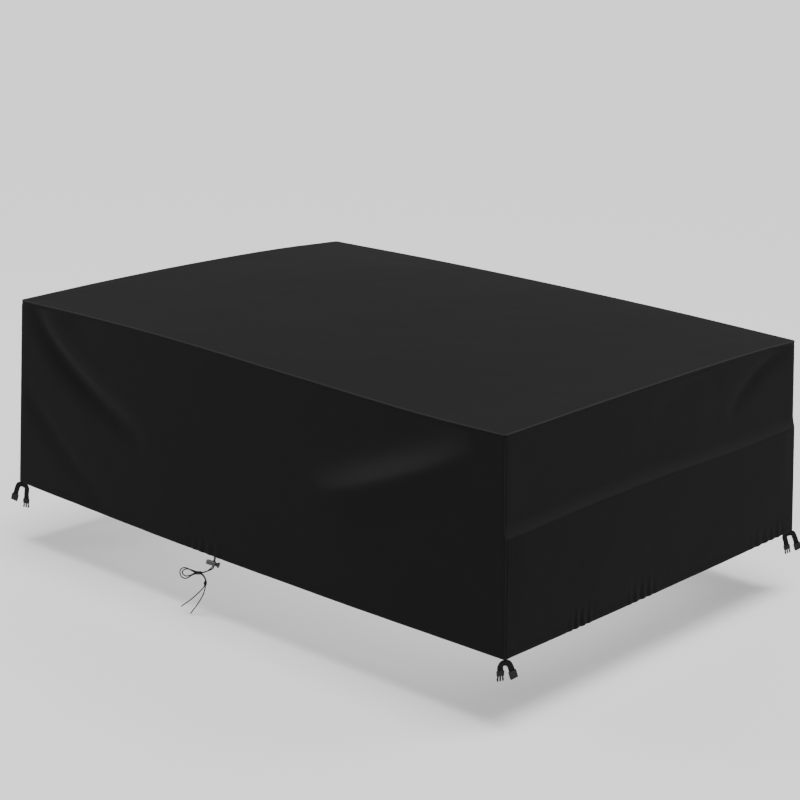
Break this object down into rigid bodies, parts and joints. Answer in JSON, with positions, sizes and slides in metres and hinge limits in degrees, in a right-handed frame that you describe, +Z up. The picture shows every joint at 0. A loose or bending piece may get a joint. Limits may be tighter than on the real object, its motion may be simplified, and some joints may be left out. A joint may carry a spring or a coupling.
{
  "type": "patio furniture cover",
  "caption": "Fitted box-shaped cloth cover for outdoor furniture, open below, with a ledge on one end, buckle straps at the hem corners and a tied hem drawcord with a cord lock.",
  "frame": {"origin": "underside of the top panel, under its centre, where the cover is carried; the top panel's cloth rises 8 mm above it and its corners lie 24 mm below it", "axes": "+X along the long side to the right as seen from the front, +Y from the front wall to the back wall, +Z up; the front with the tied cord faces -Y"},
  "size_m": [3.0367, 2.2997, 1.2292],
  "materials": {
    "oxford_cloth": "matte",
    "webbing": "matte",
    "moulded_plastic": "satin",
    "cord_braid": "matte"
  },
  "bodies": {
    "cover": {"top_panel": "oxford_cloth", "wall_front": "oxford_cloth", "wall_right": "oxford_cloth", "wall_back": "oxford_cloth", "wall_left": "oxford_cloth", "strap_front_left": "webbing", "strap_front_right": "webbing", "strap_back_right": "webbing", "strap_back_left": "webbing", "socket_front_left": "moulded_plastic", "socket_front_right": "moulded_plastic", "socket_back_right": "moulded_plastic", "socket_back_left": "moulded_plastic", "prongs_front_left": "moulded_plastic", "prongs_front_right": "moulded_plastic", "prongs_back_right": "moulded_plastic", "prongs_back_left": "moulded_plastic", "lock_barrel": "moulded_plastic", "cord_lead_front": "cord_braid", "cord_lead_rear": "cord_braid", "cord_loop_front": "cord_braid", "cord_loop_rear": "cord_braid", "cord_tail_front": "cord_braid", "cord_tail_rear": "cord_braid", "cord_end_long": "cord_braid", "cord_end_short": "cord_braid", "bow_knot": "cord_braid", "tail_knot": "cord_braid"},
    "button": {"lock_button": "moulded_plastic"}
  },
  "joints": [
    {"name": "button_press", "type": "slide", "parent": "cover", "child": "button", "axis": [-0.8911, -0.4155, 0.1822], "range_m": [0, 0.005], "stiffness_N_per_m": 300, "springref_m": -0.004}
  ]
}
